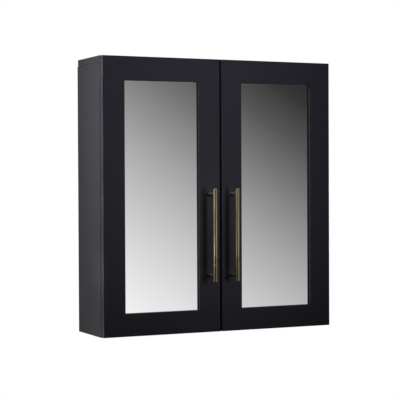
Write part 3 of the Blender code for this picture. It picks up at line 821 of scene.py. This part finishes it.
def hinge_cup(name, node, body, sign, head):
    """A pressed cup with a rounded rim, its flange's two ears, and both links' pins."""
    low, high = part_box(node)
    centre = (low + high) / 2
    depth = high.y - low.y
    wall = [(0.0, 0.0), (CUP_R, 0.0), (CUP_R, depth), (CUP_INSIDE_R, depth), (CUP_INSIDE_R, CUP_FLOOR_T),
            (0.0, CUP_FLOOR_T)]
    cup = lathe("cup", softened(wall, 0.0004, 3), 72)
    parts = [moved(cup, facing((centre.x, low.y, centre.z), BACKWARDS))]
    flange_at = Matrix.Translation((centre.x, high.y - FLANGE_DROP, centre.z)) @ LYING_TO_UPRIGHT
    for side in (-1, 1):
        ear = plate("ear", flange_ear(side, (high.z - low.z) / 2), FLANGE_T)
        parts.append(moved(ear, flange_at))

    inwards, backwards, radius = STUB_PIN
    spot = plan(sign, inwards, backwards, centre.z)
    reach = math.sqrt(CUP_INSIDE_R ** 2 - (spot.x - centre.x) ** 2) + SHELL_SINK
    stub = rod("pin", radius, LUG_Z[1], reach, 24)
    for side in (-1, 1):
        parts.append(moved(stub, Matrix.Translation(spot) @ Matrix.Scale(side, 4, (0, 0, 1))))

    inwards, backwards, radius = CUP_PIN
    spot = plan(sign, inwards, backwards, centre.z)
    parts.append(moved(rod("pin", radius, -LUG_Z[1], LUG_Z[1], 24), Matrix.Translation(spot)))
    lug_foot, lug_top = low.y + CUP_FLOOR_T - SHELL_SINK, FACE_Y + backwards + LUG_TOP
    lug = block("lug", (LUG_WIDTH, lug_top - lug_foot, LUG_Z[1] - LUG_Z[0]), 0.0003, 2)
    for side in (-1, 1):
        lug_at = (spot.x, (lug_top + lug_foot) / 2, centre.z + side * (LUG_Z[0] + LUG_Z[1]) / 2)
        parts.append(moved(lug, Matrix.Translation(lug_at)))
    place(name, joined(name, parts), "nickel_steel", body, node)
    for level, side in (("lower", -1), ("upper", 1)):
        at = facing((centre.x, high.y - HEAD_SINK, centre.z + side * CUP_SCREW_Z), BACKWARDS)
        place(f"{name}_screw_{level}", head, "nickel_steel", body,
              at=tilted(at, 12 + 33 * side + 9 * sign))


def hinges(flat_head, round_head, small_head):
    """The four cups, and the screws of the mounting plates and arms."""
    for hand, sign in SIGN_OF.items():
        for level in LEVELS:
            stem = f"{hand}_{level}_hinge"
            hinge_cup(f"{hand}_{level}_cup", f"{stem}_cup", f"{hand}_door", sign, flat_head)
            z = middle(f"{stem}_arm").z
            inward = (-sign, 0, 0)
            inwards, backwards, apart = PLATE_SCREW
            for end, side in (("lower", -1), ("upper", 1)):
                at = facing(plan(sign, inwards, backwards, z + side * apart), inward)
                place(f"{stem}_plate_screw_{end}", round_head, "nickel_steel", "root",
                      at=tilted(at, 25 * side + 8 * sign))
            for label, head, backwards, turn in (("side", small_head, 0.0520, 40),
                                                 ("depth", round_head, 0.0740, 10)):
                at = facing(plan(sign, ARM_SCREW_IN, backwards, z), inward)
                place(f"{stem}_{label}_screw", head, "nickel_steel", "root", at=tilted(at, turn * sign))


def build():
    """Dresses every CAD node and adds all the new pieces."""
    for node in nodes:
        dress(node)
    round_head = screw_head("round_screw_head", radius=0.0042, height=0.0022, recess=0.0044)
    flat_head = screw_head("flat_screw_head", radius=0.0036, height=0.0008, recess=0.0034)
    small_head = screw_head("small_screw_head", radius=0.0030, height=0.0014, recess=0.0032)
    doors()
    handles()
    handle_screws(round_head)
    side_panels()
    shelf_pins()
    cam_covers()
    back_nails()
    hanger_screws(flat_head)
    mirror_clips(flat_head)
    bumpers()
    hinges(flat_head, round_head, small_head)


# ---------------------------------------------------------------- stage, light and camera

AMBIENT = 0.004
GLOW_TIGHTNESS = 5.0
WALL_GLOWS = ((-160, 10, 0.48), (155, 10, 0.05))      # azimuth, elevation and strength

# What the mirrors see of the studio: bright at the lower left and dark at the upper right of the line of
# sight they are seen along, and an even soft white elsewhere.  Stops are (slant in degrees, brightness).
MIRROR_REFLECTANCE = 0.87
SHEET_RADIUS = 100.0
REFLECTION_AZIMUTH = 25.0          # the way that line of sight leaves the mirrors
REFLECTION_SLANT = 0.76            # how much a degree sideways counts, against a degree of height
REFLECTION_STOPS = ((-9.0, 0.92), (-6.0, 0.744), (-2.0, 0.483), (1.0, 0.291), (3.0, 0.178), (5.0, 0.089),
                    (7.0, 0.034), (9.0, 0.014))
REFLECTION_REACH = (0.16, 0.55)    # from that line to where the soft white starts and is complete
TWICE_REFLECTED = 0.65             # strength of the sheet where a mirror throws its light on the frames
ROOM_STOPS = ((0.0, 0.42), (0.35, 0.60), (0.6, 0.80), (1.0, 0.66))     # from straight down to straight up

FLOOR_RADIUS = 3.2
FLOOR_Z = -1.45
FLOOR_LIGHT_HEIGHT = 4.0

WHITE = (1.0, 1.0, 1.0)
DAYLIGHT = (0.94, 0.945, 1.08)
LIT_POINT = Vector((0.0, FACE_Y, 0.0))
SIDE_POINT = Vector((0.3, -0.08, 0.0))
BACK_POINT = Vector((0.0, 0.0, 0.0))
KEY_AZIMUTH = 22.8
BAR_STRIP_Z = -0.155
STRIP_Y = -0.16
STRIP_WIDTH = 0.04
# Strips of light beside the left panel: distance from it, height, length, watts and what they light
SIDE_STRIPS = (("side_strip_top", 0.17, 0.30, 0.16, 0.383, NOT_THE_BARS),
               ("side_strip_high", 0.17, 0.14, 0.16, 0.287, NOT_THE_BARS),
               ("side_strip_middle", 0.17, -0.02, 0.16, 0.240, NOT_THE_BARS),
               ("side_strip_low", 0.10, -0.18, 0.16, 0.103, NOT_THE_BARS),
               ("side_strip_bottom", 0.10, -0.34, 0.16, 0.078, NOT_THE_BARS),
               ("bar_strip_far", 0.17, 0.08, 0.60, 0.14, HANDLE_BARS),
               ("bar_strip_near", 0.10, 0.0, 0.60, 0.045, HANDLE_BARS))


def direction_to(azimuth, elevation):
    """A unit vector: azimuth 0 points out of the cabinet's front and 90 to its right, in degrees."""
    across, up = math.radians(azimuth), math.radians(elevation)
    return Vector((math.sin(across) * math.cos(up), -math.cos(across) * math.cos(up), math.sin(up)))


def glow(n, direction, centre, strength):
    """A soft round patch of light, brightest towards `centre`."""
    near = n.add("ShaderNodeVectorMath", operation="DOT_PRODUCT")
    n.link(direction, near.inputs[0])
    near.inputs[1].default_value = centre
    falling = n.math("MULTIPLY", n.math("SUBTRACT", near.outputs["Value"], 1.0), GLOW_TIGHTNESS)
    return n.math("MULTIPLY", n.math("EXPONENT", falling), strength)


def world_light():
    """White behind the cabinet to the eye; as light, two soft glows from the white wall behind it."""
    world = bpy.data.worlds.new("studio")
    bpy.context.scene.world = world
    world.use_nodes = True
    n = Nodes(world.node_tree)
    background = world.node_tree.nodes["Background"]
    direction = n.add("ShaderNodeTexCoord").outputs["Generated"]
    total = AMBIENT
    for azimuth, elevation, strength in WALL_GLOWS:
        total = n.math("ADD", glow(n, direction, direction_to(azimuth, elevation), strength), total)
    seen = n.add("ShaderNodeMix", data_type="FLOAT")
    n.link(n.add("ShaderNodeLightPath").outputs["Is Camera Ray"], seen.inputs["Factor"])
    n.link(total, seen.inputs["A"])
    seen.inputs["B"].default_value = 1.0
    n.link(seen.outputs["Result"], background.inputs["Strength"])
    background.inputs["Color"].default_value = (*WHITE, 1.0)


def stage_piece(name, shape):
    """A piece of the studio, which isn't part of the cabinet."""
    mesh = bpy.data.meshes.new(name)
    shape.to_mesh(mesh)
    shape.free()
    made = bpy.data.objects.new(name, mesh)
    bpy.context.scene.collection.objects.link(made)
    return made


def slanted_fade(n, x, y, z):
    """The fade round the line of sight that the mirrors are seen along, for a direction (x, y, z)."""
    to_degrees = 180.0 / math.pi
    sideways = n.math("MULTIPLY", n.math("ARCTAN2", x, n.math("MULTIPLY", y, -1.0)), to_degrees)
    upwards = n.math("MULTIPLY", n.math("ARCSINE", z), to_degrees)
    slant = n.math("ADD", upwards,
                   n.math("MULTIPLY", n.math("SUBTRACT", sideways, REFLECTION_AZIMUTH), REFLECTION_SLANT))
    low, high = REFLECTION_STOPS[0][0], REFLECTION_STOPS[-1][0]
    stops = [((at - low) / (high - low), value / MIRROR_REFLECTANCE) for at, value in REFLECTION_STOPS]
    return n.ramp(n.spread(slant, 0.0, 1.0, low, high), stops)


def studio_material():
    """A sheet that lets everything through and adds the light that the mirrors see."""
    sheet = bpy.data.materials.new("reflected_studio")
    sheet.use_nodes = True
    sheet.cycles.emission_sampling = "NONE"
    n = Nodes(sheet.node_tree)
    sheet.node_tree.nodes.remove(sheet.node_tree.nodes["Principled BSDF"])
    outward = n.add("ShaderNodeVectorMath", operation="NORMALIZE")
    n.link(n.add("ShaderNodeTexCoord").outputs["Object"], outward.inputs[0])
    direction = outward.outputs["Vector"]
    parts = n.add("ShaderNodeSeparateXYZ")
    n.link(direction, parts.inputs["Vector"])
    x, y, z = parts.outputs

    apart = n.add("ShaderNodeVectorMath", operation="DISTANCE")
    n.link(direction, apart.inputs[0])
    apart.inputs[1].default_value = direction_to(REFLECTION_AZIMUTH, 0)
    away = n.spread(apart.outputs["Value"], 0.0, 1.0, *REFLECTION_REACH)
    away.node.interpolation_type = "SMOOTHSTEP"
    seen = n.add("ShaderNodeMix", data_type="RGBA")
    n.link(away, seen.inputs["Factor"])
    n.link(slanted_fade(n, x, y, z), seen.inputs["A"])
    n.link(n.ramp(n.spread(z, 0.0, 1.0, -1.0, 1.0), ROOM_STOPS), seen.inputs["B"])
    bounces = n.add("ShaderNodeLightPath").outputs["Ray Depth"]
    light = n.add("ShaderNodeEmission")
    n.link(seen.outputs["Result"], light.inputs["Color"])
    n.link(n.spread(bounces, 1.0, TWICE_REFLECTED, 1.0, 2.0), light.inputs["Strength"])
    both = n.add("ShaderNodeAddShader")
    n.link(light.outputs["Emission"], both.inputs[0])
    n.link(n.add("ShaderNodeBsdfTransparent").outputs["BSDF"], both.inputs[1])
    n.link(both.outputs["Shader"], sheet.node_tree.nodes["Material Output"].inputs["Surface"])
    return sheet


def reflected_studio(mirrors):
    """A huge clear sheet of light round the studio, which only the mirrors take light from."""
    shape = bmesh.new()
    bmesh.ops.create_uvsphere(shape, u_segments=64, v_segments=32, radius=SHEET_RADIUS)
    made = stage_piece("reflected_studio", shape)
    made.visible_camera = False
    made.visible_diffuse = False
    made.visible_transmission = False
    made.visible_shadow = False
    made.data.materials.append(studio_material())
    takers = bpy.data.collections.new("mirrors_only")
    for mirror in mirrors:
        takers.objects.link(mirror)
    made.light_linking.receiver_collection = takers


def soft_light(name, at, aim, size, watts, colour=WHITE, takers=NOT_THE_MIRRORS):
    """A soft box that the camera doesn't show and that lights only what its takers say."""
    lamp = bpy.data.lights.new(name, "AREA")
    lamp.shape = "RECTANGLE"
    lamp.size, lamp.size_y = size
    lamp.energy = watts
    lamp.color = colour
    made = bpy.data.objects.new(name, lamp)
    made.location = at
    made.rotation_mode = "QUATERNION"
    made.rotation_quaternion = (Vector(aim) - Vector(at)).to_track_quat("-Z", "Y")
    made.visible_camera = False
    bpy.context.scene.collection.objects.link(made)
    made.light_linking.receiver_collection = takers


def aimed_light(name, aim, azimuth, elevation, distance, size, watts, colour=WHITE,
                takers=NOT_THE_MIRRORS):
    """A soft box in a given direction from the point it lights."""
    soft_light(name, aim + direction_to(azimuth, elevation) * distance, aim, size, watts, colour, takers)


def lights(mirrors):
    """A key, fills from the left and above, and lights of their own for the sides, handles and inside."""
    mirrors_and_bars = [*mirrors, *HANDLE_BARS.objects]
    for takers, left_out in ((NOT_THE_MIRRORS, mirrors), (NOT_THE_BARS, mirrors_and_bars)):
        for piece in left_out:
            takers.objects.link(piece)
        for entry in takers.collection_objects:
            entry.light_linking.link_state = "EXCLUDE"
    upper = LIT_POINT + Vector((-0.05, 0, 0.10))
    lower = LIT_POINT - Vector((0, 0, 0.10))
    corner = LIT_POINT + Vector((-0.15, 0, 0.10))
    aimed_light("key_light", LIT_POINT, KEY_AZIMUTH, 5, 1.3, (0.45, 0.60), 1.18, DAYLIGHT, NOT_THE_BARS)
    aimed_light("bar_key", LIT_POINT, KEY_AZIMUTH, 5, 1.3, (0.80, 0.60), 0.60, DAYLIGHT, HANDLE_BARS)
    soft_light("bar_strip", (-0.40, -0.16, BAR_STRIP_Z), (-0.03, -0.19, BAR_STRIP_Z), (0.39, 0.05), 0.15,
               takers=HANDLE_BARS)
    aimed_light("key_upper", upper, KEY_AZIMUTH, 12, 0.8, (0.26, 0.30), 0.10, DAYLIGHT)
    aimed_light("key_lower", lower, KEY_AZIMUTH, -5, 1.0, (0.32, 0.40), 0.39, DAYLIGHT)
    aimed_light("left_fill", corner, -60, 25, 1.0, (0.40, 0.40), 0.40)
    aimed_light("top_light", LIT_POINT, 0, 75, 0.8, (0.60, 0.40), 2.8, DAYLIGHT)
    for name, distance, height, length, watts, takers in SIDE_STRIPS:
        soft_light(name, (cad_low.x - distance, STRIP_Y, height), (cad_low.x, STRIP_Y, height),
                   (length, STRIP_WIDTH), watts, takers=takers)
    aimed_light("right_fill", SIDE_POINT, 118, -2, 2.2, (1.40, 0.80), 42.0)
    aimed_light("back_light", BACK_POINT, 170, -6, 1.8, (0.90, 0.90), 26.0)
    soft_light("post_light", (-0.05, -0.22, 0.60), (0.0, -0.18, -0.09), (0.30, 0.10), 11.0,
               takers=HANDLE_POSTS)
    soft_light("inside_light", (0.0, -1.4, 0.15), BACK_POINT, (0.60, 0.50), 7.0, takers=BEHIND_THE_DOORS)


def floor():
    """A pale round floor well below the cabinet, with a light of its own."""
    shape = bmesh.new()
    bmesh.ops.create_circle(shape, cap_ends=True, segments=128, radius=FLOOR_RADIUS)
    made = stage_piece("floor", shape)
    made.location = (0.0, 0.0, FLOOR_Z)
    made.visible_diffuse = False
    made.visible_glossy = False
    pale, n, shader = new_material("pale_floor")
    cloud = n.noise(n.place(), 1.2, 3.0, 0.5)
    n.link(n.ramp(cloud, ((0.3, (0.82, 0.82, 0.81)), (0.7, (0.86, 0.86, 0.85)))),
           shader.inputs["Base Color"])
    shader.inputs["Roughness"].default_value = 0.8
    shader.inputs["Specular IOR Level"].default_value = 0.2
    made.data.materials.append(pale)
    floor_only = bpy.data.collections.new("floor_only")
    floor_only.objects.link(made)
    soft_light("floor_light", (0.0, 0.0, FLOOR_Z + FLOOR_LIGHT_HEIGHT), (0.0, 0.0, FLOOR_Z), (6.0, 6.0),
               330.0, takers=floor_only)


def camera():
    """The camera, turned by its yaw, then its pitch, then its roll."""
    lens = bpy.data.cameras.new("camera")
    lens.sensor_width = SENSOR
    lens.lens = CAMERA_LENS
    made = bpy.data.objects.new("camera", lens)
    bpy.context.scene.collection.objects.link(made)
    ahead = Vector((math.sin(CAMERA_YAW) * math.cos(CAMERA_PITCH),
                    math.cos(CAMERA_YAW) * math.cos(CAMERA_PITCH), -math.sin(CAMERA_PITCH)))
    level = Vector((math.cos(CAMERA_YAW), -math.sin(CAMERA_YAW), 0.0))
    above = level.cross(ahead)
    right = level * math.cos(CAMERA_ROLL) + above * math.sin(CAMERA_ROLL)
    up = above * math.cos(CAMERA_ROLL) - level * math.sin(CAMERA_ROLL)
    turn = Matrix((right, up, -ahead)).transposed()
    made.matrix_world = Matrix.Translation(CAMERA_AT) @ turn.to_4x4()
    bpy.context.scene.camera = made


build()
bpy.context.scene.view_settings.view_transform = "Standard"
camera()
world_light()
MIRRORS = [nodes[f"{hand}_mirror"] for hand in SIGN_OF]
lights(MIRRORS)
reflected_studio(MIRRORS)
floor()
